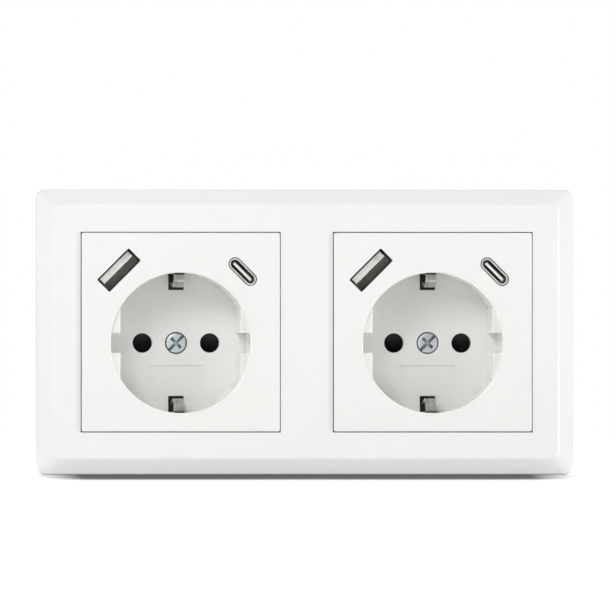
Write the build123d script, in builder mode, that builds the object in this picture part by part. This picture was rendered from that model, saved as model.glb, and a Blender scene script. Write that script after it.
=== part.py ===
from build123d import *
import os
from math import cos, radians, sin

# Twin earthed wall socket with a USB-A and a USB-C charging port beside each recess.
# X runs along the frame, Y points into the wall and Z is up.
# The origin is the middle of the frame's back, on the wall's surface.
# A height is the distance in front of the wall's surface, so it is minus Y.
# All sizes are in millimetres.

# Frame
gang_pitch = 71.0
frame_side = 80.0
frame_depth = 10.0
frame_rim = 5.4
frame_bevel = 4.55
frame_corner = 2.4
frame_face_corner = 2.2
frame_edge = 1.0
frame_crease = 0.8
frame_wall = 2.0
frame_rib = 1.2
rib_foot = 4.6
rib_offset = 15.0
well_wall = 1.5
ledge_seat = 5.0
ledge_thick = 1.2
ledge_width = 1.3
plate_gap = 0.25

# Centre plate
plate_side = 55.8
plate_proud = 0.8
plate_thick = 2.0
plate_corner = 0.5
plate_edge = 0.4
skirt_wall = 1.6

# Recess of the centre plate
recess_radius = 19.7
recess_drop = 3.0
recess_depth = 17.5
mouth_edge = 0.4
pot_wall = 1.6
floor_thick = 2.5
flat_reach = 16.9
flat_slot = 5.6
flat_drop = 1.2
flat_edge = 0.4
label_width = 15.0
label_height = 5.2
label_sink = 0.35
label_drop = 8.9
label_corner = 0.4

# Pins of a plug and the holes that take them
pin_pitch = 19.0
pin_radius = 2.4
pin_hole_radius = 2.75

# Windows for the earth clips
window_width = 4.4
window_length = 5.7
window_bite = 0.9
window_drop = 5.6

# Cover screw
screw_radius = 1.45
screw_head_radius = 2.9
screw_head_height = 1.7
screw_head_edge = 0.6
screw_tip = 1.0
head_gap = 0.22
shank_gap = 0.25
thread_gap = 0.05
seat_depth = 1.4
drive_slot = 0.8
drive_depth = 1.2
drive_turn = 45.0
cross_reach = 1.9

# Shutter and its spring
running_gap = 0.3
shutter_depth = 5.4
blade_width = 8.0
blade_margin = 1.2
blade_lip = 0.8
open_margin = 0.3
bar_height = 3.2
bar_depth = 4.0
spring_pocket = 4.0
spring_seat = 1.2
spring_inset = 1.9
spring_radius = 1.3
spring_wire = 0.2
spring_facets = 6
spring_turns = 5
spring_room = 1.2
peg_radius = 0.8
peg_gap = 0.6

# Contact carrier
tray_floor = 1.0
tray_top = 18.0
block_top = 5.0
block_roof = 4.0
chamber_depth = 11.0
chamber_side = 18.0
partition = 1.0
pin_passage = 0.6
carrier_gap = 0.2
pillar_inset = 4.3
pillar_z = 8.6
pillar_radius = 1.9

# Contacts and terminals
sleeve_bore = 2.3
sleeve_wall = 0.6
sleeve_split = 1.0
contact_length = 10.0
strap_thick = 0.8
strap_width = 4.4
terminal_x = 12.4
terminal_z = -17.6
terminal_width = 8.4
terminal_height = 8.4
wire_gap = 2.8
clamp_thick = 1.2
clamp_width = 8.0
terminal_head_radius = 2.3
terminal_head_height = 1.9
terminal_slot = 0.8
terminal_slot_depth = 0.9

# Earth bracket
strip_width = 8.0
strip_thick = 1.0
strip_gap = 0.6
collar_radius = 2.6
collar_length = 2.5
clip_width = 3.0
clip_sheet = 0.6
clip_inset = 0.8
clip_span = 2.6
clip_bulge = 4.2
clip_return = 2.9
clip_top_drop = 6.4
clip_nose_drop = 10.6
clip_tail_gap = 0.8
clip_bend = 0.9
clip_gap = 0.4
clip_bead_width = 1.1
clip_bead_height = 0.35
clip_bead_start = 1.0
clip_bead_share = 0.8

# Support plate
support_joint = 0.8
support_gap = 0.3
support_thick = 1.0
support_corner = 2.0
support_bearing = 1.0
box_screw_pitch = 60.0
box_slot_land = 1.1
box_slot_width = 4.0
slot_turn = 90.0
wall_hole_pitch = 58.0
wall_hole_radius = 2.0
tab_z = 8.7
tab_width = 9.0
tab_length = 8.0
tab_bend = 0.4
tab_relief = 1.0
tab_gap = 0.1

# Rear housing
housing_shell_gap = 0.545
housing_chamfer = 10.5
housing_turn = 45.0
housing_wall = 1.3
housing_back = 1.6
housing_corner = 2.0
housing_edge = 1.0
access_gap = 0.4
wire_hole_radius = 1.5
wire_spread = 2.2
nub_front = 2.6
nub_length = 2.8
nub_width = 5.0
nub_height = 0.8
nub_gap = 0.3
housing_screw_inset = 3.6
housing_screw_z = 1.5

# Small self-tapping screws of the housing and the port board
tapping_radius = 1.0
tapping_head_radius = 1.9
tapping_head_height = 1.3
tapping_slot = 0.5
tapping_slot_reach = 0.95
tapping_slot_depth = 0.65
tapping_length = 7.0
tapping_gap = 0.1

# Boards
board_thick = 1.6
board_gap = 0.4
leg_foot = 6.0
board_screw_length = 3.6
charger_foot = 5.6
charger_gap = 0.2

# USB-A port
port_clear = 2.57
port_tilt = 45.0
usb_a_window_width = 12.6
usb_a_window_height = 4.95
usb_a_corner = 0.4
usb_a_skin = 1.5
usb_a_bore_width = 12.5
usb_a_bore_height = 5.12
usb_a_wall = 0.3
usb_a_length = 13.0
usb_a_block = 3.2
usb_a_tongue_width = 11.1
usb_a_tongue_thick = 1.84
usb_a_tongue_offset = 0.98
usb_a_tongue_recess = 0.9
usb_a_contact_width = 1.0
usb_a_contact_thick = 0.25
usb_a_contact_length = 7.4
usb_a_contact_pitch = 2.4
usb_a_contact_count = 4
port_gap = 0.2
insert_gap = 0.02

# USB-C port
usb_c_drop = 0.4
usb_c_width = 9.2
usb_c_height = 3.16
usb_c_wall = 0.3
usb_c_window_gap = 0.3
usb_c_recess = 0.3
usb_c_block = 5.0
usb_c_tongue_width = 6.7
usb_c_tongue_thick = 0.7
usb_c_tongue_recess = 1.0

# Parts on the charger board
transformer_x = 11.6
transformer_z = 14.0
transformer_width = 13.0
transformer_height = 8.0
core_depth = 5.0
winding_width = 10.6
winding_depth = 11.6
winding_height = 4.6
winding_corner = 2.0
capacitor_x = -10.0
capacitor_z = 14.6
capacitor_pitch = 7.4
capacitor_radius = 3.15
capacitor_height = 7.8
capacitor_edge = 0.5
groove_height = 1.6
groove_depth = 0.4
pin_row_z = 21.8
pin_row_pitch = 2.54
pin_row_count = 6
pin_row_side = 0.64

# Search distance for edges at a level
edge_reach = 0.01

# Levels, as heights, and sizes that follow from the ones above
frame_width = frame_side + gang_pitch
opening_side = plate_side + 2 * plate_gap
cover_front = frame_depth + plate_proud
plate_back = cover_front - plate_thick
recess_floor = cover_front - recess_depth
floor_back = recess_floor - floor_thick
pot_radius = recess_radius + pot_wall
window_outer = recess_radius + window_bite
window_inner = window_outer - window_length
clip_reach = window_outer - clip_inset
screw_seat = recess_floor - seat_depth
tray_front = floor_back - running_gap
shutter_back = tray_front - shutter_depth
pocket_floor = shutter_back - running_gap
chamber_front = pocket_floor - tray_floor
carrier_back = chamber_front - chamber_depth
housing_depth = housing_back - carrier_back
blade_half = pin_hole_radius + blade_margin
shutter_travel = blade_half + pin_radius + open_margin
blade_top = blade_half - recess_drop
bar_top = blade_top + bar_height
spring_foot = blade_top + spring_seat
spring_height = tray_front - spring_inset
pocket_top = bar_top + shutter_travel + spring_room
sleeve_radius = sleeve_bore + sleeve_wall
clamp_front = chamber_front - strap_thick - wire_gap
clamp_back = clamp_front - clamp_thick
wire_height = chamber_front - strap_thick - wire_gap / 2
collar_back = chamber_front - strip_thick - collar_length
usb_a_width = usb_a_bore_width + 2 * usb_a_wall
usb_a_height = usb_a_bore_height + 2 * usb_a_wall
usb_a_half = (usb_a_width + usb_a_height) / 2 * cos(radians(port_tilt))
port_reach = pot_radius + port_clear + usb_a_height / 2
port_x = port_reach * cos(radians(port_tilt)) - recess_drop / 2
usb_a_z = port_x
usb_c_z = port_x - usb_c_drop
housing_half = port_x + usb_a_half + housing_shell_gap + housing_wall
housing_flat = (2 * housing_half - housing_chamfer) * cos(radians(housing_turn))
pillar_x = housing_half - pillar_inset
housing_screw_x = housing_half - housing_screw_inset
support_side = gang_pitch - support_joint
box_slot_length = box_screw_pitch - 2 * (housing_half - support_bearing + box_slot_land)
tab_inner = housing_half + tab_gap
tab_radius = tab_bend + support_thick
usb_a_mouth = cover_front - usb_a_skin
board_front = usb_a_mouth - usb_a_length
board_back = board_front - board_thick
charger_back = carrier_back + charger_gap
charger_front = charger_back + board_thick
usb_c_mouth = cover_front - usb_c_recess
terminals = [(-terminal_x, terminal_z), (0, terminal_z), (terminal_x, terminal_z)]
pillars = [(-pillar_x, pillar_z), (pillar_x, pillar_z)]
housing_screw_spots = [(-housing_screw_x, housing_screw_z), (housing_screw_x, housing_screw_z)]
pin_spots = [(-pin_pitch / 2, -recess_drop), (pin_pitch / 2, -recess_drop)]


def level(height, gang_x=0.0):
    """Plane parallel to the wall that faces the room, at a height."""
    return Plane(origin=(gang_x, -height, 0), x_dir=(1, 0, 0), z_dir=(0, -1, 0))


def section(gang_x):
    """Upright plane through a gang's middle, with height along its x and Z along its y."""
    return Plane(origin=(gang_x, 0, 0), x_dir=(0, -1, 0), z_dir=(-1, 0, 0))


def underside(gang_x, up):
    """Level plane that faces down, with height along its y."""
    return Plane(origin=(gang_x, 0, up), x_dir=(1, 0, 0), z_dir=(0, 0, -1))


def port_level(height, gang_x, side, up):
    """Plane at a port, parallel to the wall, with the port's long way along its x."""
    tilt = radians(-side * port_tilt)
    spot = (gang_x + side * port_x, -height, up)
    return Plane(origin=spot, x_dir=(cos(tilt), 0, sin(tilt)), z_dir=(0, -1, 0))


def housing_outline(inset):
    """Eight-sided outline of the rear housing, moved in by an inset."""
    Rectangle(2 * (housing_half - inset), 2 * (housing_half - inset))
    flats = 2 * (housing_flat - inset)
    Rectangle(flats, flats, rotation=housing_turn, mode=Mode.INTERSECT)


def cut_below(up):
    """Take away the part of a gang's outline that lies below a level."""
    with Locations((0, up)):
        Rectangle(support_side, support_side, align=(Align.CENTER, Align.MAX), mode=Mode.SUBTRACT)


def cut_above(up):
    """Take away the part of a gang's outline that lies above a level."""
    with Locations((0, up)):
        Rectangle(support_side, support_side, align=(Align.CENTER, Align.MIN), mode=Mode.SUBTRACT)


os.makedirs("parts", exist_ok=True)

# Frame: the hollow behind its face leaves the wells and ribs standing
gang_spots = [(-gang_pitch / 2, 0), (gang_pitch / 2, 0)]
well_side = opening_side + 2 * well_wall

with BuildPart() as frame_hollow:
    with BuildSketch(level(0)):
        RectangleRounded(frame_width - 2 * frame_wall, frame_side - 2 * frame_wall, frame_face_corner)
    extrude(amount=frame_rim)
    with BuildSketch(level(frame_rim)):
        RectangleRounded(frame_width - 2 * frame_wall, frame_side - 2 * frame_wall, frame_face_corner)
    with BuildSketch(level(frame_depth - frame_wall)):
        inset = 2 * (frame_wall + frame_bevel)
        RectangleRounded(frame_width - inset, frame_side - inset, frame_face_corner)
    loft(ruled=True)
    with BuildSketch(level(ledge_seat - ledge_thick)):
        with Locations(*gang_spots):
            Rectangle(well_side, well_side)
    extrude(amount=frame_depth, mode=Mode.SUBTRACT)
    with BuildSketch(level(rib_foot)):
        Rectangle(frame_width, frame_rib)
        with Locations(*gang_spots):
            with GridLocations(2 * rib_offset, 0, 2, 1):
                Rectangle(frame_rib, frame_side)
    extrude(amount=frame_depth, mode=Mode.SUBTRACT)

with BuildPart() as frame:
    with BuildSketch(level(0)):
        RectangleRounded(frame_width, frame_side, frame_corner)
    extrude(amount=frame_rim)
    with BuildSketch(level(frame_rim)):
        RectangleRounded(frame_width, frame_side, frame_corner)
    with BuildSketch(level(frame_depth)):
        RectangleRounded(frame_width - 2 * frame_bevel, frame_side - 2 * frame_bevel, frame_face_corner)
    loft(ruled=True)
    fillet(frame.faces().sort_by(Axis.Y)[0].edges(), radius=frame_edge)
    rim_edges = frame.edges().filter_by_position(Axis.Y, -frame_rim - edge_reach, -frame_rim + edge_reach)
    fillet(rim_edges, radius=frame_crease)
    add(frame_hollow.part, mode=Mode.SUBTRACT)
    with BuildSketch(level(frame_depth)):
        with Locations(*gang_spots):
            Rectangle(opening_side, opening_side)
    extrude(amount=ledge_seat - frame_depth, mode=Mode.SUBTRACT)
    with BuildSketch(level(ledge_seat)):
        with Locations(*gang_spots):
            Rectangle(opening_side - 2 * ledge_width, opening_side - 2 * ledge_width)
    extrude(amount=-ledge_seat, mode=Mode.SUBTRACT)

frame.part.label = "frame"
export_step(frame.part, "parts/frame.step")


def centre_plate(gang_x):
    """Square cover with the plug's recess, the port windows and a skirt that presses on the frame."""
    with BuildPart() as piece:
        with BuildSketch(level(cover_front, gang_x)):
            RectangleRounded(plate_side, plate_side, plate_corner)
        extrude(amount=ledge_seat - cover_front)
        fillet(piece.faces().sort_by(Axis.Y)[0].edges(), radius=plate_edge)
        with BuildSketch(level(ledge_seat, gang_x)):
            Rectangle(plate_side - 2 * skirt_wall, plate_side - 2 * skirt_wall)
        extrude(amount=plate_back - ledge_seat, mode=Mode.SUBTRACT)

        # Round pot and the recess in it
        with BuildSketch(level(floor_back, gang_x)):
            with Locations((0, -recess_drop)):
                Circle(pot_radius)
        extrude(amount=plate_back - floor_back)
        with BuildSketch(level(cover_front, gang_x)):
            with Locations((0, -recess_drop)):
                Circle(recess_radius)
        extrude(amount=-recess_depth, mode=Mode.SUBTRACT)
        rims = piece.edges().filter_by(GeomType.CIRCLE).group_by(Axis.Y)[0]
        mouth = rims.sort_by(SortBy.RADIUS)[-1]
        fillet(mouth, radius=mouth_edge)

        # Flats at both sides, each with a slot at half height
        with BuildSketch(level(recess_floor, gang_x)):
            with Locations((0, -recess_drop)):
                Circle(recess_radius)
                Rectangle(2 * flat_reach, 2 * recess_radius, mode=Mode.SUBTRACT)
                Rectangle(2 * recess_radius, flat_slot, mode=Mode.SUBTRACT)
        extrude(amount=recess_depth - flat_drop)
        flat_top = flat_drop - cover_front
        upright = piece.edges().filter_by(Axis.Z)
        flat_rims = upright.filter_by_position(Axis.Y, flat_top - edge_reach, flat_top + edge_reach)
        fillet(flat_rims, radius=flat_edge)

        # Bare label field sunk into the recess floor
        with BuildSketch(level(recess_floor, gang_x)):
            with Locations((0, -recess_drop - label_drop)):
                RectangleRounded(label_width, label_height, label_corner)
        extrude(amount=-label_sink, mode=Mode.SUBTRACT)

        # Pin holes and the seat of the cover screw
        with BuildSketch(level(recess_floor, gang_x)):
            with Locations(*pin_spots):
                Circle(pin_hole_radius)
            with Locations((0, -recess_drop)):
                Circle(screw_radius + shank_gap)
        extrude(amount=-floor_thick, mode=Mode.SUBTRACT)
        with BuildSketch(level(recess_floor, gang_x)):
            with Locations((0, -recess_drop)):
                Circle(screw_head_radius + head_gap)
        extrude(amount=-seat_depth, mode=Mode.SUBTRACT)

        # Windows for the earth clips, through the floor and into the pot's wall
        window_middle = (window_inner + window_outer) / 2
        with BuildSketch(level(floor_back, gang_x)):
            with Locations((0, -recess_drop)):
                with GridLocations(0, 2 * window_middle, 1, 2):
                    Rectangle(window_width, window_outer - window_inner)
        extrude(amount=cover_front - window_drop - floor_back, mode=Mode.SUBTRACT)

        # Windows for the ports, and the pocket that the USB-A port stands in
        with BuildSketch(port_level(cover_front, gang_x, -1, usb_a_z)):
            RectangleRounded(usb_a_window_width, usb_a_window_height, usb_a_corner)
        with BuildSketch(port_level(cover_front, gang_x, 1, usb_c_z)):
            SlotOverall(usb_c_width + 2 * usb_c_window_gap, usb_c_height + 2 * usb_c_window_gap)
        extrude(amount=-plate_thick, mode=Mode.SUBTRACT)
        with BuildSketch(port_level(plate_back, gang_x, -1, usb_a_z)):
            Rectangle(usb_a_width + 2 * port_gap, usb_a_height + 2 * port_gap)
        extrude(amount=plate_thick - usb_a_skin, mode=Mode.SUBTRACT)
    return piece.part


def cover_screw(gang_x):
    """Pan-head screw that pulls the centre plate against the earth bracket."""
    with BuildPart() as piece:
        with BuildSketch(level(screw_seat, gang_x)):
            with Locations((0, -recess_drop)):
                Circle(screw_head_radius)
        extrude(amount=screw_head_height)
        fillet(piece.edges().filter_by(GeomType.CIRCLE).sort_by(Axis.Y)[0], radius=screw_head_edge)
        with BuildSketch(level(screw_seat, gang_x)):
            with Locations((0, -recess_drop)):
                Circle(screw_radius)
        extrude(amount=collar_back - screw_tip - screw_seat)
        with BuildSketch(level(screw_seat + screw_head_height, gang_x)):
            with Locations((0, -recess_drop)):
                Rectangle(2 * screw_head_radius, drive_slot, rotation=drive_turn)
                Rectangle(drive_slot, 2 * cross_reach, rotation=drive_turn)
        extrude(amount=-drive_depth, mode=Mode.SUBTRACT)
    return piece.part


def shutter(gang_x):
    """Slider with a ramped blade behind each pin hole, joined by a bar above the screw."""
    with BuildPart() as piece:
        for spot_x, spot_z in pin_spots:
            with BuildSketch(section(gang_x + spot_x)):
                with BuildLine():
                    Polyline(
                        (tray_front, blade_top),
                        (tray_front, blade_top - blade_lip),
                        (shutter_back + blade_lip, spot_z - blade_half),
                        (shutter_back, spot_z - blade_half),
                        (shutter_back, blade_top),
                        close=True,
                    )
                make_face()
            extrude(amount=blade_width / 2, both=True)
        with BuildSketch(level(tray_front, gang_x)):
            with Locations((0, blade_top)):
                Rectangle(pin_pitch + blade_width, bar_height, align=(Align.CENTER, Align.MIN))
            with Locations((0, spring_foot)):
                Rectangle(spring_pocket, bar_height, align=(Align.CENTER, Align.MIN), mode=Mode.SUBTRACT)
        extrude(amount=-bar_depth)
    return piece.part


def shutter_spring(gang_x):
    """Coil spring between the shutter's bar and the carrier."""
    rise = pocket_top - spring_foot - 2 * spring_wire
    start = (gang_x, -spring_height, spring_foot + spring_wire)
    with BuildPart() as piece:
        with BuildLine() as coil:
            Helix(pitch=rise / spring_turns, height=rise, radius=spring_radius, center=start)
        with BuildSketch(Plane(origin=coil.line @ 0, z_dir=coil.line % 0)):
            RegularPolygon(spring_wire, spring_facets)
        sweep()
    return piece.part


def contact_carrier(gang_x):
    """Insulator with a tray for the shutter in front and three chambers for the terminals behind."""
    with BuildPart() as piece:
        with BuildSketch(level(tray_front, gang_x)):
            housing_outline(housing_wall + carrier_gap)
            cut_above(tray_top)
        extrude(amount=chamber_front - tray_front)
        with BuildSketch(level(chamber_front, gang_x)):
            housing_outline(housing_wall + carrier_gap)
            cut_above(block_top)
        extrude(amount=-chamber_depth)

        # Earth chamber in the middle, and one live chamber at each side
        earth_half = strip_width / 2 + strip_gap
        live_inner = earth_half + partition
        live_roof = block_top - block_roof
        with BuildSketch(level(chamber_front, gang_x)):
            Rectangle(2 * earth_half, support_side)
            for side in (Align.MIN, Align.MAX):
                spot_x = live_inner if side == Align.MIN else -live_inner
                with Locations((spot_x, live_roof)):
                    Rectangle(chamber_side - live_inner, support_side, align=(side, Align.MAX))
        extrude(amount=-chamber_depth, mode=Mode.SUBTRACT)

        # Pocket that the shutter slides in, with the peg that guides its spring
        pocket_bottom = -recess_drop - blade_half - running_gap
        with BuildSketch(level(tray_front, gang_x)):
            with Locations((0, pocket_bottom)):
                Rectangle(
                    pin_pitch + blade_width + 2 * running_gap,
                    pocket_top - pocket_bottom,
                    align=(Align.CENTER, Align.MIN),
                )
        extrude(amount=pocket_floor - tray_front, mode=Mode.SUBTRACT)
        with BuildSketch(underside(gang_x, pocket_top)):
            with Locations((0, spring_height)):
                Circle(peg_radius)
        extrude(amount=pocket_top - spring_foot - shutter_travel - peg_gap)

        # Ways through the tray for the pins, the cover screw and the earth clips
        clip_middle = clip_reach - clip_sheet / 2
        with BuildSketch(level(pocket_floor, gang_x)):
            with Locations(*pin_spots):
                Circle(pin_radius + pin_passage)
            with Locations((0, -recess_drop)):
                Circle(screw_radius + shank_gap)
        extrude(amount=-tray_floor, mode=Mode.SUBTRACT)
        with BuildSketch(level(tray_front, gang_x)):
            with Locations((0, -recess_drop)):
                with GridLocations(0, 2 * clip_middle, 1, 2):
                    Rectangle(clip_width + 2 * clip_gap, clip_sheet + 2 * clip_gap)
        extrude(amount=chamber_front - tray_front, mode=Mode.SUBTRACT)

        # Pillars that carry the port board, and the screw holes
        with BuildSketch(level(tray_front, gang_x)):
            with Locations(*pillars):
                Circle(pillar_radius)
        extrude(amount=board_back - tray_front)
        with BuildSketch(level(board_back, gang_x)):
            with Locations(*pillars):
                Circle(tapping_radius + tapping_gap)
        extrude(amount=tray_front - board_back, mode=Mode.SUBTRACT)
        with BuildSketch(level(carrier_back, gang_x)):
            with Locations(*housing_screw_spots):
                Circle(tapping_radius + tapping_gap)
        extrude(amount=tapping_length, mode=Mode.SUBTRACT)
    return piece.part


def contact(gang_x, pole):
    """Split sleeve that grips a pin, with a strap down to its terminal."""
    sleeve_x = pole * pin_pitch / 2
    with BuildPart() as piece:
        with BuildSketch(level(chamber_front, gang_x)):
            with Locations((sleeve_x, -recess_drop)):
                Circle(sleeve_radius)
                Circle(sleeve_bore, mode=Mode.SUBTRACT)
                Rectangle(
                    sleeve_split, sleeve_radius, align=(Align.CENTER, Align.MIN), mode=Mode.SUBTRACT
                )
        extrude(amount=-contact_length)
        with BuildSketch(level(chamber_front, gang_x)):
            with Locations((sleeve_x, -recess_drop)):
                strap_length = -recess_drop - terminal_z
                Rectangle(strap_width, strap_length, align=(Align.CENTER, Align.MAX))
                Circle(sleeve_bore, mode=Mode.SUBTRACT)
            with Locations((pole * terminal_x, terminal_z)):
                Rectangle(terminal_width, terminal_height)
                Circle(screw_radius + thread_gap, mode=Mode.SUBTRACT)
        extrude(amount=-strap_thick)
    return piece.part


def line_contact(gang_x):
    """Contact of the left pin."""
    return contact(gang_x, -1)


def neutral_contact(gang_x):
    """Contact of the right pin."""
    return contact(gang_x, 1)


def earth_bracket(gang_x):
    """Strip behind the tray with a sprung clip at both ends and a thread for the cover screw."""
    clip_top = cover_front - clip_top_drop
    clip_nose_height = cover_front - clip_nose_drop
    clip_end = floor_back + clip_tail_gap
    clip_z = clip_reach - recess_drop
    bead_end_height = clip_top + clip_bead_share * (clip_nose_height - clip_top)
    bead_end_z = clip_z - clip_span - clip_bead_share * (clip_bulge - clip_span)
    with BuildPart() as piece:
        with BuildSketch(section(gang_x)):
            with BuildLine():
                FilletPolyline(
                    (chamber_front - strip_thick, clip_z),
                    (clip_top, clip_z),
                    (clip_top, clip_z - clip_span),
                    (clip_nose_height, clip_z - clip_bulge),
                    (clip_end, clip_z - clip_return),
                    radius=clip_bend,
                )
                offset(amount=clip_sheet, side=Side.RIGHT)
            make_face()
        extrude(amount=clip_width / 2, both=True)
        # Bead along the middle of the clip that stiffens it
        with BuildSketch(section(gang_x)):
            with BuildLine():
                FilletPolyline(
                    (clip_top, clip_z - clip_bead_start),
                    (clip_top, clip_z - clip_span),
                    (bead_end_height, bead_end_z),
                    radius=clip_bend,
                )
                offset(amount=clip_bead_height, side=Side.LEFT)
            make_face()
        extrude(amount=clip_bead_width / 2, both=True)
        with BuildSketch(level(chamber_front, gang_x)):
            with Locations((0, -recess_drop)):
                Rectangle(strip_width, clip_reach, align=(Align.CENTER, Align.MIN))
        extrude(amount=-strip_thick)
        mirror(about=Plane(origin=(0, 0, -recess_drop), z_dir=(0, 0, 1)))
        with BuildSketch(level(chamber_front - strip_thick, gang_x)):
            with Locations((0, -recess_drop)):
                Circle(collar_radius)
        extrude(amount=-collar_length)
        with BuildSketch(level(chamber_front, gang_x)):
            with Locations((0, -recess_drop), (0, terminal_z)):
                Circle(screw_radius + thread_gap)
        extrude(amount=collar_back - chamber_front, mode=Mode.SUBTRACT)
    return piece.part


def terminal_screws(gang_x):
    """Three slotted screws that draw the wire clamps up."""
    with BuildPart() as piece:
        with BuildSketch(level(clamp_back, gang_x)):
            with Locations(*terminals):
                Circle(terminal_head_radius)
        extrude(amount=-terminal_head_height)
        with BuildSketch(level(clamp_back, gang_x)):
            with Locations(*terminals):
                Circle(screw_radius)
        extrude(amount=chamber_front - thread_gap - clamp_back)
        with BuildSketch(level(clamp_back - terminal_head_height, gang_x)):
            with Locations(*terminals):
                Rectangle(2 * terminal_head_radius, terminal_slot, rotation=drive_turn)
        extrude(amount=terminal_slot_depth, mode=Mode.SUBTRACT)
    return piece.part


def wire_clamps(gang_x):
    """Plate under the head of each terminal screw."""
    with BuildPart() as piece:
        with BuildSketch(level(clamp_front, gang_x)):
            with Locations(*terminals):
                Rectangle(clamp_width, terminal_height)
                Circle(screw_radius + shank_gap, mode=Mode.SUBTRACT)
        extrude(amount=-clamp_thick)
    return piece.part


def support_plate(gang_x):
    """Sheet steel plate on the wall, with two bent tabs at both sides that hold the housing."""
    frame_inset = 2 * (frame_wall + support_gap)
    tab_root = tab_inner + tab_radius
    with BuildPart() as piece:
        with BuildSketch(level(0, gang_x)):
            RectangleRounded(support_side, support_side, support_corner)
            with Locations((-gang_x, 0)):
                Rectangle(frame_width - frame_inset, frame_side - frame_inset, mode=Mode.INTERSECT)
            with BuildSketch(mode=Mode.SUBTRACT):
                housing_outline(support_bearing)
            with GridLocations(0, 2 * tab_z, 1, 2):
                Rectangle(2 * tab_root, tab_width + 2 * tab_relief, mode=Mode.SUBTRACT)
            with GridLocations(box_screw_pitch, 0, 2, 1):
                SlotOverall(box_slot_length, box_slot_width, mode=Mode.SUBTRACT)
            with GridLocations(0, box_screw_pitch, 1, 2):
                SlotOverall(box_slot_length, box_slot_width, rotation=slot_turn, mode=Mode.SUBTRACT)
            with GridLocations(wall_hole_pitch, wall_hole_pitch, 2, 2):
                Circle(wall_hole_radius, mode=Mode.SUBTRACT)
        extrude(amount=support_thick)

        # Tabs, each bent back round the housing's edge
        for tab_middle in (-tab_z, tab_z):
            for side in (-1, 1):
                with BuildSketch(underside(gang_x, tab_middle)):
                    with BuildLine():
                        FilletPolyline(
                            (side * (tab_root + support_thick), support_thick),
                            (side * tab_inner, support_thick),
                            (side * tab_inner, -tab_length),
                            radius=tab_radius,
                        )
                        offset(amount=support_thick, side=Side.LEFT if side > 0 else Side.RIGHT)
                    make_face()
                extrude(amount=tab_width / 2, both=True)
        with BuildSketch(section(gang_x)):
            with GridLocations(0, 2 * tab_z, 1, 2):
                with Locations((-nub_front - nub_length / 2, 0)):
                    Rectangle(nub_length + 2 * nub_gap, nub_width + 2 * nub_gap)
        extrude(amount=support_side / 2, both=True, mode=Mode.SUBTRACT)
    return piece.part


def rear_housing(gang_x):
    """Cup in the wall box that holds the carrier and the boards."""
    with BuildPart() as piece:
        with BuildSketch(level(0, gang_x)) as outline:
            housing_outline(0)
            fillet(outline.vertices(), radius=housing_corner)
        extrude(amount=-housing_depth)
        fillet(piece.faces().sort_by(Axis.Y)[-1].edges(), radius=housing_edge)
        with BuildSketch(level(0, gang_x)):
            housing_outline(housing_wall)
        extrude(amount=carrier_back, mode=Mode.SUBTRACT)

        # Ways in for the wires below, and for a screwdriver behind
        with BuildSketch(underside(gang_x, -housing_half)):
            for spot_x, spot_z in terminals:
                with Locations((spot_x, wire_height)):
                    with GridLocations(2 * wire_spread, 0, 2, 1):
                        Circle(wire_hole_radius)
        extrude(amount=-housing_wall, mode=Mode.SUBTRACT)
        with BuildSketch(level(-housing_depth, gang_x)):
            with Locations(*terminals):
                Circle(terminal_head_radius + access_gap)
            with Locations(*housing_screw_spots):
                Circle(tapping_radius + tapping_gap)
        extrude(amount=housing_back, mode=Mode.SUBTRACT)

        # Ramped nubs at both sides that the support plate's tabs catch
        for nub_middle in (-tab_z, tab_z):
            for side in (-1, 1):
                with BuildSketch(Plane.XY.offset(nub_middle)):
                    with BuildLine():
                        Polyline(
                            (gang_x + side * housing_half, nub_front),
                            (gang_x + side * (housing_half + nub_height), nub_front + nub_length),
                            (gang_x + side * housing_half, nub_front + nub_length),
                            close=True,
                        )
                    make_face()
                extrude(amount=nub_width / 2, both=True)
    return piece.part


def tapping_screws(plane, spots, length):
    """Pan-head self-tapping screws that stand on a plane, with their points behind it."""
    with BuildPart() as piece:
        with BuildSketch(plane):
            with Locations(*spots):
                Circle(tapping_head_radius)
        extrude(amount=tapping_head_height)
        with BuildSketch(plane):
            with Locations(*spots):
                Circle(tapping_radius)
        extrude(amount=-length)
        with BuildSketch(plane.offset(tapping_head_height)):
            with Locations(*spots):
                Rectangle(2 * tapping_slot_reach, tapping_slot)
                Rectangle(tapping_slot, 2 * tapping_slot_reach)
        extrude(amount=-tapping_slot_depth, mode=Mode.SUBTRACT)
    return piece.part


def housing_screws(gang_x):
    """Two screws through the housing's back into the carrier."""
    back = Plane(origin=(gang_x, housing_depth, 0), x_dir=(-1, 0, 0), z_dir=(0, 1, 0))
    return tapping_screws(back, housing_screw_spots, tapping_length)


def port_board_screws(gang_x):
    """Two screws through the port board into the carrier's pillars."""
    return tapping_screws(level(board_front, gang_x), pillars, board_screw_length)


def port_board(gang_x):
    """Arched circuit board round the top of the recess that carries both ports."""
    with BuildPart() as piece:
        with BuildSketch(level(board_front, gang_x)):
            housing_outline(housing_wall + board_gap)
            cut_below(leg_foot)
            with Locations((0, -recess_drop)):
                Circle(pot_radius + board_gap, mode=Mode.SUBTRACT)
            with Locations(*pillars):
                Circle(tapping_radius + tapping_gap, mode=Mode.SUBTRACT)
        extrude(amount=-board_thick)
    return piece.part


def charger_board(gang_x):
    """Circuit board at the back of the housing."""
    with BuildPart() as piece:
        with BuildSketch(level(charger_front, gang_x)):
            housing_outline(housing_wall + board_gap)
            cut_below(charger_foot)
        extrude(amount=-board_thick)
    return piece.part


def link_pins(gang_x):
    """Row of square pins that joins the two boards."""
    with BuildPart() as piece:
        with BuildSketch(level(board_back, gang_x)):
            with Locations((0, pin_row_z)):
                with GridLocations(pin_row_pitch, 0, pin_row_count, 1):
                    Rectangle(pin_row_side, pin_row_side)
        extrude(amount=charger_front - board_back)
    return piece.part


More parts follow.
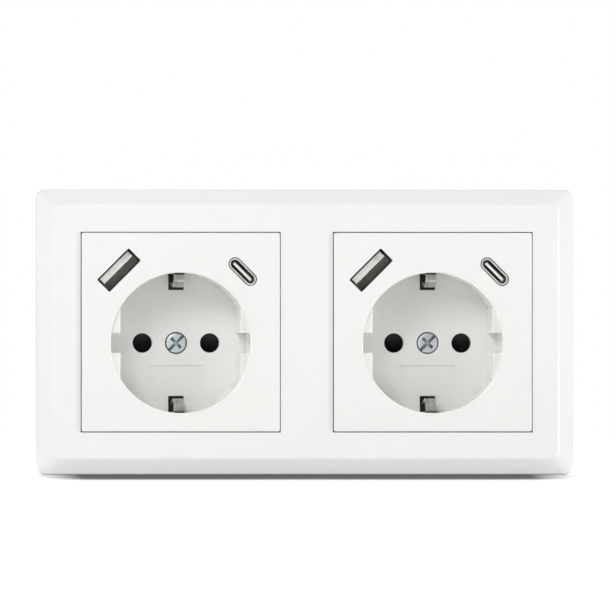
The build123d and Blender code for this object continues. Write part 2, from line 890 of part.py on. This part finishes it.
def transformer(gang_x):
    """Ferrite core with a wound bobbin."""
    with BuildPart() as piece:
        with BuildSketch(level(charger_front, gang_x)):
            with Locations((transformer_x, transformer_z)):
                Rectangle(transformer_width, core_depth)
        extrude(amount=transformer_height)
        winding_foot = charger_front + (transformer_height - winding_height) / 2
        with BuildSketch(level(winding_foot, gang_x)):
            with Locations((transformer_x, transformer_z)):
                RectangleRounded(winding_width, winding_depth, winding_corner)
        extrude(amount=winding_height)
    return piece.part


def capacitors(gang_x):
    """Two cans with a rolled groove near the foot."""
    foot = charger_front
    top = charger_front + capacitor_height
    groove = charger_front + groove_height
    with BuildPart() as piece:
        for side in (-1, 1):
            axis_z = capacitor_z + side * capacitor_pitch / 2
            wall_z = axis_z + capacitor_radius
            with BuildSketch(section(gang_x + capacitor_x)):
                with BuildLine():
                    Polyline(
                        (top, axis_z),
                        (foot, axis_z),
                        (foot, wall_z),
                        (groove - groove_depth, wall_z),
                        (groove, wall_z - groove_depth),
                        (groove + groove_depth, wall_z),
                        (top - capacitor_edge, wall_z),
                        (top, wall_z - capacitor_edge),
                        close=True,
                    )
                make_face()
            revolve(axis=Axis((gang_x + capacitor_x, 0, axis_z), (0, 1, 0)))
    return piece.part


def usb_a_shell(gang_x):
    """Folded metal sleeve of the USB-A port."""
    with BuildPart() as piece:
        with BuildSketch(port_level(usb_a_mouth, gang_x, -1, usb_a_z)):
            RectangleRounded(usb_a_width, usb_a_height, usb_a_corner + usb_a_wall)
            RectangleRounded(usb_a_bore_width, usb_a_bore_height, usb_a_corner, mode=Mode.SUBTRACT)
        extrude(amount=-usb_a_length)
    return piece.part


def usb_a_tongue(gang_x):
    """Insulator of the USB-A port: a block that fills the sleeve's back, with the tongue in front."""
    with BuildPart() as piece:
        with BuildSketch(port_level(board_front, gang_x, -1, usb_a_z)):
            width = usb_a_bore_width - 2 * insert_gap
            height = usb_a_bore_height - 2 * insert_gap
            RectangleRounded(width, height, usb_a_corner)
        extrude(amount=usb_a_block)
        with BuildSketch(port_level(board_front, gang_x, -1, usb_a_z)):
            with Locations((0, usb_a_tongue_offset)):
                Rectangle(usb_a_tongue_width, usb_a_tongue_thick)
        extrude(amount=usb_a_length - usb_a_tongue_recess)
    return piece.part


def usb_a_contacts(gang_x):
    """Four contact strips on the inner side of the USB-A tongue."""
    with BuildPart() as piece:
        with BuildSketch(port_level(board_front + usb_a_block, gang_x, -1, usb_a_z)):
            with Locations((0, usb_a_tongue_offset - usb_a_tongue_thick / 2)):
                with GridLocations(usb_a_contact_pitch, 0, usb_a_contact_count, 1):
                    Rectangle(
                        usb_a_contact_width, usb_a_contact_thick, align=(Align.CENTER, Align.MAX)
                    )
        extrude(amount=usb_a_contact_length)
    return piece.part


def usb_c_shell(gang_x):
    """Drawn metal sleeve of the USB-C port."""
    with BuildPart() as piece:
        with BuildSketch(port_level(usb_c_mouth, gang_x, 1, usb_c_z)):
            SlotOverall(usb_c_width, usb_c_height)
            SlotOverall(usb_c_width - 2 * usb_c_wall, usb_c_height - 2 * usb_c_wall, mode=Mode.SUBTRACT)
        extrude(amount=board_front - usb_c_mouth)
    return piece.part


def usb_c_tongue(gang_x):
    """Insulator of the USB-C port, with its thin tongue in the middle."""
    fill = 2 * (usb_c_wall + insert_gap)
    with BuildPart() as piece:
        with BuildSketch(port_level(board_front, gang_x, 1, usb_c_z)):
            SlotOverall(usb_c_width - fill, usb_c_height - fill)
        extrude(amount=usb_c_block)
        with BuildSketch(port_level(board_front, gang_x, 1, usb_c_z)):
            Rectangle(usb_c_tongue_width, usb_c_tongue_thick)
        extrude(amount=usb_c_mouth - usb_c_tongue_recess - board_front)
    return piece.part


gang_pieces = {
    "centre_plate": centre_plate,
    "cover_screw": cover_screw,
    "shutter": shutter,
    "shutter_spring": shutter_spring,
    "contact_carrier": contact_carrier,
    "line_contact": line_contact,
    "neutral_contact": neutral_contact,
    "earth_bracket": earth_bracket,
    "terminal_screws": terminal_screws,
    "wire_clamps": wire_clamps,
    "support_plate": support_plate,
    "rear_housing": rear_housing,
    "housing_screws": housing_screws,
    "port_board": port_board,
    "port_board_screws": port_board_screws,
    "charger_board": charger_board,
    "link_pins": link_pins,
    "transformer": transformer,
    "capacitors": capacitors,
    "usb_a_shell": usb_a_shell,
    "usb_a_tongue": usb_a_tongue,
    "usb_a_contacts": usb_a_contacts,
    "usb_c_shell": usb_c_shell,
    "usb_c_tongue": usb_c_tongue,
}

# Both gangs hold the same pieces
for side, gang_x in (("left", -gang_pitch / 2), ("right", gang_pitch / 2)):
    for name, make in gang_pieces.items():
        piece = make(gang_x)
        piece.label = f"{side}_{name}"
        export_step(piece, f"parts/{side}_{name}.step")
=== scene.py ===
import math

import bmesh
import bpy
from mathutils import Matrix, Vector


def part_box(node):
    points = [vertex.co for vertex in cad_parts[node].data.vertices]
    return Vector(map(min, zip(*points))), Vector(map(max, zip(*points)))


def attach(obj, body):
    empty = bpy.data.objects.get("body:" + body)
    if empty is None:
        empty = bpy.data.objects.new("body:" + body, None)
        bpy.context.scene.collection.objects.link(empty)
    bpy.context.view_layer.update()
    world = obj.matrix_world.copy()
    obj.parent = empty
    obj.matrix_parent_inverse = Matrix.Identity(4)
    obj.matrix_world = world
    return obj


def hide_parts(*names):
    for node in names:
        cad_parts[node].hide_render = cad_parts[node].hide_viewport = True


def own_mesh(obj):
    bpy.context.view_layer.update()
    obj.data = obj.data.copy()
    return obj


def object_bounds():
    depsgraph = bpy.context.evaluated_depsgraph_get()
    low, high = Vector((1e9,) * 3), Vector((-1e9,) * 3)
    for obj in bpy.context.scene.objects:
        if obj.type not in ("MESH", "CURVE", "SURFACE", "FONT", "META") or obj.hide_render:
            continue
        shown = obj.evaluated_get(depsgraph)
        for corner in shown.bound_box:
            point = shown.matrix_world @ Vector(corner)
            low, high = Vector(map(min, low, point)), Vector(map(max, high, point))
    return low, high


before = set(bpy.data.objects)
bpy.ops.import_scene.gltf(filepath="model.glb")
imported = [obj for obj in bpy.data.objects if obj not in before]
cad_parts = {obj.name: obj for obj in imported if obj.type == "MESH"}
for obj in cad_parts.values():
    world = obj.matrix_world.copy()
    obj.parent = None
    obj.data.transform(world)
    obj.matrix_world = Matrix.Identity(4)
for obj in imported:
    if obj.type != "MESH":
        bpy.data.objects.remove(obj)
cad_low, cad_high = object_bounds()

# Sizes are in metres, as in the frame
MM = 0.001
SIDES = ("left", "right")
ROOT = "socket"

# Camera: a long lens from far away, a little to the left of the face
CAMERA_AZIMUTH = math.radians(-4.8)
CAMERA_ELEVATION = math.radians(-0.2)
CAMERA_DISTANCE = 8.0
CAMERA_REACH = (0.1, 100.0)
FIELD_WIDTH = 172.9 * MM
AIM_RIGHT = 0.28 * MM
AIM_UP = 6.78 * MM
SENSOR_WIDTH = 36.0

# Lamps: place, width and height, and the light on a face turned to it, where 1 shows a colour as written
LAMPS = {
    "key": (Vector((-0.35, -0.75, 0.50)), 0.35, 0.35, 0.35),
    "right_fill": (Vector((1.0, -0.50, 0.11)), 0.28, 0.28, 0.38),
    "left_fill": (Vector((-1.0, -0.50, 0.09)), 0.24, 0.24, 0.14),
    "top_fill": (Vector((0.05, -0.30, 0.90)), 0.22, 0.22, 0.06),
    "left_strip": (Vector((-0.44, -1.20, 0.20)), 0.03, 0.46, 0.035),
    "top_strip": (Vector((0.0, -1.20, 0.44)), 0.88, 0.03, 0.02),
    "left_corner": (Vector((-0.62, -0.05, 0.66)), 0.14, 0.14, 0.06),
    "right_corner": (Vector((0.75, -0.01, 0.66)), 0.14, 0.14, 0.05),
    "left_back": (Vector((-0.62, 0.80, 0.15)), 0.20, 0.20, 0.28),
    "right_back": (Vector((0.62, 0.80, 0.20)), 0.20, 0.20, 0.10),
}

# Room round the object: dimmer in front of it than the white backdrop behind
ROOM_LEVEL = 0.17
BACKDROP_LEVEL = 0.55
ROOM_BLEND = (-0.3, 0.15)

# Floor: level behind the frame, and falling gently in front of it, so that the contact shade shows
FLOOR_HALF = 12.0
FLOOR_TILT = math.radians(4)
FLOOR_COLOUR = 0.93
FLOOR_SEEN_COLOUR = 0.25
FLOOR_SEEN_GLOW = 0.93

# Painted contact shade on the floor: its reach, its range of openness, and where it ends as shares of the
# frame's half width
SHADE_REACH = 18 * MM
SHADE_SAMPLES = 16
SHADE_DARK = 0.12
SHADE_RANGE = (0.74, 0.985)
SHADE_ENDS = (0.84, 1.03)

# Painted shade in narrow places: how far a surface looks for its neighbours, and the openness at which the
# painted shade is darkest and where it ends
CREVICE_REACH = 1.6 * MM
CREVICE_SAMPLES = 8
PLASTIC_SHADE_RANGE = (0.06, 0.42)
PLASTIC_SHADE_DEEP = 0.03
METAL_SHADE_RANGE = (0.1, 0.75)
METAL_SHADE_DEEP = 0.05

# Noise mostly keeps to this range
NOISE_LOW = 0.3
NOISE_HIGH = 0.7

# Moulded plastic: flow marks, specks, patches of gloss and a slight waviness
FLOW_SIZE = 22 * MM
FLOW_STRETCH = (1.0, 1.0, 1.6)
FLOW_TONES = (0.985, 1.01)
SPECK_SIZE = 0.6 * MM
SPECK_SHARE = 0.3
SPECK_TONE = 0.97
GLOSS_SIZE = 6 * MM
GLOSS_CHANGE = 0.02
WAVE_SIZE = 9 * MM
WAVE_HEIGHT = 0.012 * MM
PLASTIC_IOR = 1.5

# Plated metal: cloudy plating over drawing marks
CLOUD_SIZE = 2.5 * MM
CLEAR_TONE = 1.05
MARK_SIZE = 0.12 * MM
MARK_SHARE = 0.35
MARK_TONE = 0.7
MARK_SMOOTHER = 0.08
MARK_ROUGHER = 0.1
MARK_HEIGHT = 0.006 * MM
STEEL_TARNISH = (0.55, 0.55, 0.56)
ZINC_TARNISH = (0.5, 0.52, 0.55)
EARTH_TARNISH = (0.44, 0.425, 0.4)
BRASS = (0.78, 0.58, 0.28)
BRASS_TARNISH = (0.6, 0.42, 0.2)

# Circuit board: tracks under a green resist, on a woven laminate
TRACK_SIZE = 4 * MM
TRACK_WIDTH = 0.06
TRACK_SOFTNESS = 0.2
TRACK_HEIGHT = 0.035 * MM
TRACK_GREEN = (0.06, 0.32, 0.12)
WEAVE_SIZE = 0.5 * MM
WEAVE_GREENS = ((0.02, 0.14, 0.05), (0.03, 0.2, 0.07))
WEAVE_GLOSS = (0.28, 0.4)

# Ferrite: sintered grains
GRAIN_SIZE = 0.25 * MM
GRAIN_HEIGHT = 0.02 * MM
GRAIN_TONES = ((0.03, 0.028, 0.026), (0.09, 0.085, 0.08))
GRAIN_GLOSS = (0.5, 0.75)

# Contact pads on the tongue of the USB-C port
PAD_COUNT = 12
PAD_PITCH = 0.5 * MM
PAD_WIDTH = 0.27 * MM
PAD_LENGTH = 3.2 * MM
PAD_SETBACK = 0.5 * MM
PAD_THICK = 0.03 * MM
TONGUE_THICK = 0.7 * MM
TONGUE_TILT = math.radians(45)

# Coil springs over the shutters: the wire is a radius
SPRING_TURNS = 5
SPRING_STEPS = 24
WIRE_ROUNDNESS = 2
SPRING_WIRE = 0.2 * MM


def grey(level):
    """Neutral colour of a level."""
    return (level, level, level)


def shaded(colour, factor):
    """Colour made darker or lighter by a factor."""
    return tuple(min(1.0, part * factor) for part in colour)


def new_material(name):
    """Material with a Principled shader, and the object coordinates that its textures use."""
    made = bpy.data.materials.new(name)
    made.use_nodes = True
    tree = made.node_tree
    shader = tree.nodes["Principled BSDF"]
    place = tree.nodes.new("ShaderNodeTexCoord").outputs["Object"]
    return made, tree, shader, place


def noise(tree, place, size, detail, stretch=(1.0, 1.0, 1.0)):
    """Noise with features of a size, and longer along an axis where stretch is above 1."""
    scaled = tree.nodes.new("ShaderNodeMapping")
    scaled.inputs["Scale"].default_value = [1.0 / way for way in stretch]
    tree.links.new(place, scaled.inputs["Vector"])
    texture = tree.nodes.new("ShaderNodeTexNoise")
    texture.inputs["Scale"].default_value = 1.0 / size
    texture.inputs["Detail"].default_value = detail
    tree.links.new(scaled.outputs["Vector"], texture.inputs["Vector"])
    return texture.outputs["Fac"]


def spread(tree, value, low, high, start=NOISE_LOW, end=NOISE_HIGH):
    """Value carried from the range start to end over to the range low to high."""
    node = tree.nodes.new("ShaderNodeMapRange")
    node.inputs["From Min"].default_value = start
    node.inputs["From Max"].default_value = end
    node.inputs["To Min"].default_value = low
    node.inputs["To Max"].default_value = high
    tree.links.new(value, node.inputs["Value"])
    return node.outputs["Result"]


def mix(tree, share, first, second):
    """Colour between two colours or colour sockets."""
    node = tree.nodes.new("ShaderNodeMix")
    node.data_type = "RGBA"
    tree.links.new(share, node.inputs["Factor"])
    for socket, colour in ((node.inputs[6], first), (node.inputs[7], second)):
        if isinstance(colour, tuple):
            socket.default_value = (*colour, 1.0)
        else:
            tree.links.new(colour, socket)
    return node.outputs[2]


def dimmed(tree, share, colour):
    """Colour or colour socket times a share, down to black."""
    return mix(tree, share, grey(0.0), colour)


def towards_one(tree, share, value):
    """Value carried towards 1 by a share."""
    node = tree.nodes.new("ShaderNodeMix")
    tree.links.new(share, node.inputs[0])
    tree.links.new(value, node.inputs[2])
    node.inputs[3].default_value = 1.0
    return node.outputs[0]


def larger(tree, first, second):
    """The larger of two values."""
    node = tree.nodes.new("ShaderNodeMath")
    node.operation = "MAXIMUM"
    tree.links.new(first, node.inputs[0])
    tree.links.new(second, node.inputs[1])
    return node.outputs["Value"]


def openness(tree, reach, samples):
    """Share of the sky over a point that nothing within reach hides."""
    node = tree.nodes.new("ShaderNodeAmbientOcclusion")
    node.samples = samples
    node.inputs["Distance"].default_value = reach
    return node.outputs["AO"]


def bump(tree, height, depth, under=None):
    """Normal of a surface with a height map, on top of another bump."""
    node = tree.nodes.new("ShaderNodeBump")
    node.inputs["Distance"].default_value = depth
    tree.links.new(height, node.inputs["Height"])
    if under:
        tree.links.new(under, node.inputs["Normal"])
    return node.outputs["Normal"]


def painted_crevice_shade(tree, tone, deep, span):
    """Colour with painted shade, which falls to a share of itself in narrow gaps and slots."""
    open_share = openness(tree, CREVICE_REACH, CREVICE_SAMPLES)
    return dimmed(tree, spread(tree, open_share, deep, 1.0, *span), tone)


def moulded_plastic(name, colour, rough, grain, relief, deep=PLASTIC_SHADE_DEEP):
    """Injection moulded plastic: faint flow marks, uneven gloss, the grain of the mould, and painted shade in
    narrow gaps.
    """
    made, tree, shader, place = new_material(name)
    flow = noise(tree, place, FLOW_SIZE, detail=2.0, stretch=FLOW_STRETCH)
    speck = noise(tree, place, SPECK_SIZE, detail=2.0)
    gloss = noise(tree, place, GLOSS_SIZE, detail=2.0)
    tone = mix(tree, spread(tree, flow, 0.0, 1.0), *(shaded(colour, factor) for factor in FLOW_TONES))
    tone = mix(tree, spread(tree, speck, 0.0, SPECK_SHARE), tone, shaded(colour, SPECK_TONE))
    # Base colour darkened by painted shade in narrow gaps
    tree.links.new(painted_crevice_shade(tree, tone, deep, PLASTIC_SHADE_RANGE), shader.inputs["Base Color"])
    gloss = spread(tree, gloss, rough - GLOSS_CHANGE, rough + GLOSS_CHANGE)
    tree.links.new(gloss, shader.inputs["Roughness"])
    waves = bump(tree, noise(tree, place, WAVE_SIZE, detail=1.0), WAVE_HEIGHT)
    skin = bump(tree, noise(tree, place, grain, detail=4.0), relief, waves)
    tree.links.new(skin, shader.inputs["Normal"])
    shader.inputs["IOR"].default_value = PLASTIC_IOR
    return made


def plated_metal(name, colour, rough, stretch, tarnish):
    """Plated sheet or wire: drawing marks along one way, a cloudy plating, and painted shade in narrow gaps
    and slots.
    """
    made, tree, shader, place = new_material(name)
    shader.inputs["Metallic"].default_value = 1.0
    cloud = noise(tree, place, CLOUD_SIZE, detail=4.0)
    marks = noise(tree, place, MARK_SIZE, detail=3.0, stretch=stretch)
    tone = mix(tree, spread(tree, cloud, 0.0, 1.0), shaded(colour, CLEAR_TONE), tarnish)
    tone = mix(tree, spread(tree, marks, 0.0, MARK_SHARE), tone, shaded(colour, MARK_TONE))
    # Base colour darkened by painted shade in narrow gaps and slots
    tree.links.new(painted_crevice_shade(tree, tone, METAL_SHADE_DEEP, METAL_SHADE_RANGE), shader.inputs["Base Color"])
    gloss = spread(tree, marks, rough - MARK_SMOOTHER, rough + MARK_ROUGHER)
    tree.links.new(gloss, shader.inputs["Roughness"])
    tree.links.new(bump(tree, marks, MARK_HEIGHT), shader.inputs["Normal"])
    return made


def circuit_board(name):
    """Green solder resist over copper tracks, with the weave of the laminate under it."""
    made, tree, shader, place = new_material(name)
    turned = tree.nodes.new("ShaderNodeMapping")
    turned.inputs["Rotation"].default_value = (math.radians(90), 0, 0)
    tree.links.new(place, turned.inputs["Vector"])
    tracks = tree.nodes.new("ShaderNodeTexBrick")
    tracks.inputs["Scale"].default_value = 1.0 / TRACK_SIZE
    tracks.inputs["Mortar Size"].default_value = TRACK_WIDTH
    tracks.inputs["Mortar Smooth"].default_value = TRACK_SOFTNESS
    tree.links.new(turned.outputs["Vector"], tracks.inputs["Vector"])
    weave = noise(tree, place, WEAVE_SIZE, detail=2.0)
    resist = mix(tree, spread(tree, weave, 0.0, 1.0), *WEAVE_GREENS)
    tone = mix(tree, tracks.outputs["Fac"], resist, TRACK_GREEN)
    tree.links.new(tone, shader.inputs["Base Color"])
    tree.links.new(spread(tree, weave, *WEAVE_GLOSS), shader.inputs["Roughness"])
    tree.links.new(bump(tree, tracks.outputs["Fac"], TRACK_HEIGHT), shader.inputs["Normal"])
    return made


def ferrite(name):
    """Sintered core, speckled and matt."""
    made, tree, shader, place = new_material(name)
    grains = noise(tree, place, GRAIN_SIZE, detail=5.0)
    tone = mix(tree, spread(tree, grains, 0.0, 1.0), *GRAIN_TONES)
    tree.links.new(tone, shader.inputs["Base Color"])
    tree.links.new(spread(tree, grains, *GRAIN_GLOSS), shader.inputs["Roughness"])
    tree.links.new(bump(tree, grains, GRAIN_HEIGHT), shader.inputs["Normal"])
    return made


# Finishes by material slot, where a grain is the size of a plastic's relief
FINISHES = {
    "frame_plastic": moulded_plastic("frame_white", (0.9, 0.9, 0.893), 0.2, 0.28 * MM, 0.004 * MM),
    "plate_plastic": moulded_plastic("plate_white", (0.895, 0.894, 0.877), 0.22, 0.28 * MM, 0.004 * MM),
    "tongue_plastic": moulded_plastic(
        "tongue_white", (0.94, 0.94, 0.92), 0.42, 0.2 * MM, 0.004 * MM, deep=0.9
    ),
    "housing_plastic": moulded_plastic("housing_grey", (0.72, 0.72, 0.71), 0.5, 0.5 * MM, 0.02 * MM),
    "shutter_plastic": moulded_plastic("shutter_black", (0.028, 0.028, 0.029), 0.45, 0.3 * MM, 0.008 * MM),
    "carrier_plastic": moulded_plastic("carrier_dark", (0.05, 0.05, 0.055), 0.5, 0.4 * MM, 0.012 * MM),
    "zinc_screw": plated_metal("zinc_screw", (0.74, 0.8, 0.83), 0.42, (1.0, 1.0, 6.0), (0.6, 0.64, 0.67)),
    "spring_steel": plated_metal("spring_wire", (0.5, 0.5, 0.52), 0.38, (3.0, 3.0, 1.0), STEEL_TARNISH),
    "earth_metal": plated_metal("earth_strip", (0.6, 0.585, 0.555), 0.37, (1.0, 8.0, 8.0), EARTH_TARNISH),
    "support_steel": plated_metal("support_zinc", (0.62, 0.65, 0.68), 0.38, (9.0, 1.0, 1.0), ZINC_TARNISH),
    "port_steel": plated_metal("port_sleeve", (0.92, 0.92, 0.9), 0.6, (1.0, 9.0, 1.0), (0.78, 0.78, 0.75)),
    "contact_brass": plated_metal("contact_brass", BRASS, 0.38, (1.0, 6.0, 6.0), BRASS_TARNISH),
    "port_contact": plated_metal("contact_gold", (0.86, 0.74, 0.5), 0.4, (1.0, 6.0, 1.0), BRASS),
    "can_aluminium": plated_metal("can_aluminium", (0.6, 0.62, 0.65), 0.4, (4.0, 1.0, 4.0), STEEL_TARNISH),
    "board": circuit_board("circuit_board"),
    "ferrite": ferrite("ferrite"),
}
# Darker copy of the port sleeve metal: painted shade for the shells inside the USB-A ports
PAINTED_SHADE_SLEEVE = plated_metal("sleeve_with_painted_shade", (0.27, 0.27, 0.25), 0.36, (1.0, 9.0, 1.0), (0.2, 0.2, 0.18))


def dress_frame():
    """Give every node of the frame the finish of its material slot, and the USB-A shells a darker copy of the
    sleeve metal as painted shade.
    """
    for name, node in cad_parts.items():
        for slot in node.material_slots:
            slot.material = FINISHES[slot.material.name]
        if name.endswith("usb_a_shell"):
            node.material_slots[0].material = PAINTED_SHADE_SLEEVE


def new_piece(name, mesh, slot):
    """Object that shows a mesh in the finish of a material slot, and rides on the socket's own body."""
    mesh.materials.clear()
    mesh.materials.append(FINISHES[slot])
    piece = bpy.data.objects.new(name, mesh)
    bpy.context.scene.collection.objects.link(piece)
    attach(piece, ROOT)
    return piece


def add_pads(side):
    """Rows of contact pads on both faces of a USB-C tongue."""
    low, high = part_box(f"{side}_usb_c_tongue")
    middle = (low + high) / 2
    turn = Matrix.Translation((middle.x, 0.0, middle.z)) @ Matrix.Rotation(TONGUE_TILT, 4, "Y")
    size = Matrix.Diagonal((PAD_WIDTH, PAD_LENGTH, PAD_THICK, 1.0))
    y = low.y + PAD_SETBACK + PAD_LENGTH / 2
    blocks = bmesh.new()
    for face in (-1, 1):
        z = face * (TONGUE_THICK + PAD_THICK) / 2
        for index in range(PAD_COUNT):
            x = (index - (PAD_COUNT - 1) / 2) * PAD_PITCH
            bmesh.ops.create_cube(blocks, size=1.0, matrix=turn @ Matrix.Translation((x, y, z)) @ size)
    mesh = bpy.data.meshes.new(f"{side}_usb_c_pads")
    blocks.to_mesh(mesh)
    blocks.free()
    new_piece(f"{side}_usb_c_pads", mesh, "port_contact")


def coil_mesh(name, foot, radius, rise):
    """Mesh of a coil of round wire that climbs from a foot point on its axis."""
    steps = SPRING_TURNS * SPRING_STEPS
    curve = bpy.data.curves.new(name, "CURVE")
    curve.dimensions = "3D"
    curve.bevel_depth = SPRING_WIRE
    curve.bevel_resolution = WIRE_ROUNDNESS
    curve.use_fill_caps = True
    line = curve.splines.new("POLY")
    line.points.add(steps)
    for step, point in enumerate(line.points):
        angle = 2 * math.pi * step / SPRING_STEPS
        reach = Vector((radius * math.cos(angle), radius * math.sin(angle), rise * step / steps))
        point.co = (*(foot + reach), 1.0)
    wire = bpy.data.objects.new(name, curve)
    mesh = bpy.data.meshes.new_from_object(wire)
    bpy.data.objects.remove(wire)
    mesh.shade_smooth()
    return mesh


def add_spring(side):
    """Coil spring in place of the rigid one, riding on the socket's own body."""
    node = f"{side}_shutter_spring"
    low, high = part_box(node)
    middle = (low + high) / 2
    length = high.z - low.z
    foot = Vector((middle.x, middle.y, low.z + SPRING_WIRE))
    radius = (high.x - low.x) / 2 - SPRING_WIRE
    mesh = coil_mesh(f"{side}_spring_line", foot, radius, length - 2 * SPRING_WIRE)
    coil = new_piece(f"{side}_shutter_coil", mesh, "spring_steel")
    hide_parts(node)
    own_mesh(coil)


def contact_shade(tree):
    """Painted contact shade: share of the light left on the floor close to the object, from how open the
    floor is there, which ends at the frame's ends.
    """
    clear = openness(tree, SHADE_REACH, SHADE_SAMPLES)
    near = spread(tree, clear, SHADE_DARK, 1.0, *SHADE_RANGE)
    across = tree.nodes.new("ShaderNodeSeparateXYZ")
    tree.links.new(tree.nodes.new("ShaderNodeTexCoord").outputs["Object"], across.inputs["Vector"])
    aside = tree.nodes.new("ShaderNodeMath")
    aside.operation = "ABSOLUTE"
    tree.links.new(across.outputs["X"], aside.inputs[0])
    ends = [share * cad_high.x for share in SHADE_ENDS]
    return towards_one(tree, spread(tree, aside.outputs["Value"], 0.0, 1.0, *ends), near)


def floor_white():
    """White paint, which the camera, mirrors and glass see as a white sweep with the painted contact shade on
    it.
    """
    made = bpy.data.materials.new("floor_white")
    made.use_nodes = True
    tree = made.node_tree
    tree.nodes.clear()
    shade = contact_shade(tree)
    paint = tree.nodes.new("ShaderNodeBsdfDiffuse")
    paint.inputs["Color"].default_value = (*grey(FLOOR_COLOUR), 1.0)
    seen_paint = tree.nodes.new("ShaderNodeBsdfDiffuse")
    tree.links.new(dimmed(tree, shade, grey(FLOOR_SEEN_COLOUR)), seen_paint.inputs["Color"])
    glow = tree.nodes.new("ShaderNodeEmission")
    tree.links.new(dimmed(tree, shade, grey(FLOOR_SEEN_GLOW)), glow.inputs["Color"])
    seen = tree.nodes.new("ShaderNodeAddShader")
    tree.links.new(seen_paint.outputs["BSDF"], seen.inputs[0])
    tree.links.new(glow.outputs["Emission"], seen.inputs[1])
    rays = tree.nodes.new("ShaderNodeLightPath").outputs
    straight = larger(tree, rays["Is Camera Ray"], rays["Is Transmission Ray"])
    choice = tree.nodes.new("ShaderNodeMixShader")
    tree.links.new(larger(tree, straight, rays["Is Glossy Ray"]), choice.inputs["Fac"])
    tree.links.new(paint.outputs["BSDF"], choice.inputs[1])
    tree.links.new(seen.outputs["Shader"], choice.inputs[2])
    out = tree.nodes.new("ShaderNodeOutputMaterial")
    tree.links.new(choice.outputs["Shader"], out.inputs["Surface"])
    return made


def add_floor():
    """Floor under the frame's lower edge, folded along the wall plane."""
    mesh = bpy.data.meshes.new("floor")
    rows = ((-FLOOR_HALF, -FLOOR_HALF * math.tan(FLOOR_TILT)), (0.0, 0.0), (FLOOR_HALF, 0.0))
    points = [(x, y, cad_low.z + rise) for y, rise in rows for x in (-FLOOR_HALF, FLOOR_HALF)]
    mesh.from_pydata(points, [], [(0, 1, 3, 2), (2, 3, 5, 4)])
    mesh.materials.append(floor_white())
    floor = bpy.data.objects.new("floor", mesh)
    bpy.context.scene.collection.objects.link(floor)


def add_world():
    """Light from a white backdrop and a dimmer room in front of it; the camera sees white all round."""
    world = bpy.data.worlds.new("studio")
    bpy.context.scene.world = world
    world.use_nodes = True
    tree = world.node_tree
    tree.nodes.clear()
    ways = tree.nodes.new("ShaderNodeSeparateXYZ")
    tree.links.new(tree.nodes.new("ShaderNodeTexCoord").outputs["Generated"], ways.inputs["Vector"])
    room = spread(tree, ways.outputs["Y"], ROOM_LEVEL, BACKDROP_LEVEL, *ROOM_BLEND)
    rays = tree.nodes.new("ShaderNodeLightPath").outputs
    straight = larger(tree, rays["Is Camera Ray"], rays["Is Transmission Ray"])
    sky = tree.nodes.new("ShaderNodeBackground")
    sky.inputs["Color"].default_value = (*grey(1.0), 1.0)
    tree.links.new(towards_one(tree, straight, room), sky.inputs["Strength"])
    out = tree.nodes.new("ShaderNodeOutputWorld")
    tree.links.new(sky.outputs["Background"], out.inputs["Surface"])


def add_lamps():
    """Soft lamps that face the object's middle, each with the power that its level and distance need."""
    middle = (cad_low + cad_high) / 2
    for name, (place, width, height, level) in LAMPS.items():
        data = bpy.data.lights.new(name, "AREA")
        data.shape = "RECTANGLE"
        data.size = width
        data.size_y = height
        data.energy = level * math.pi ** 2 * (middle - place).length_squared
        lamp = bpy.data.objects.new(name, data)
        lamp.location = place
        lamp.rotation_mode = "QUATERNION"
        lamp.rotation_quaternion = (middle - place).to_track_quat("-Z", "Y")
        bpy.context.scene.collection.objects.link(lamp)


def add_camera():
    """Long lens, aimed as the photograph is framed."""
    data = bpy.data.cameras.new("camera")
    data.sensor_width = SENSOR_WIDTH
    data.lens = SENSOR_WIDTH * CAMERA_DISTANCE / FIELD_WIDTH
    data.clip_start, data.clip_end = CAMERA_REACH
    camera = bpy.data.objects.new("camera", data)
    bpy.context.scene.collection.objects.link(camera)
    away = Vector((
        math.sin(CAMERA_AZIMUTH) * math.cos(CAMERA_ELEVATION),
        -math.cos(CAMERA_AZIMUTH) * math.cos(CAMERA_ELEVATION),
        math.sin(CAMERA_ELEVATION),
    ))
    aim = Vector((AIM_RIGHT, cad_low.y, AIM_UP))
    camera.location = aim + away * CAMERA_DISTANCE
    camera.rotation_mode = "QUATERNION"
    camera.rotation_quaternion = (-away).to_track_quat("-Z", "Y")
    bpy.context.scene.camera = camera


dress_frame()
for side in SIDES:
    add_pads(side)
    add_spring(side)
add_floor()
add_world()
add_lamps()
add_camera()
bpy.context.scene.view_settings.view_transform = "Standard"
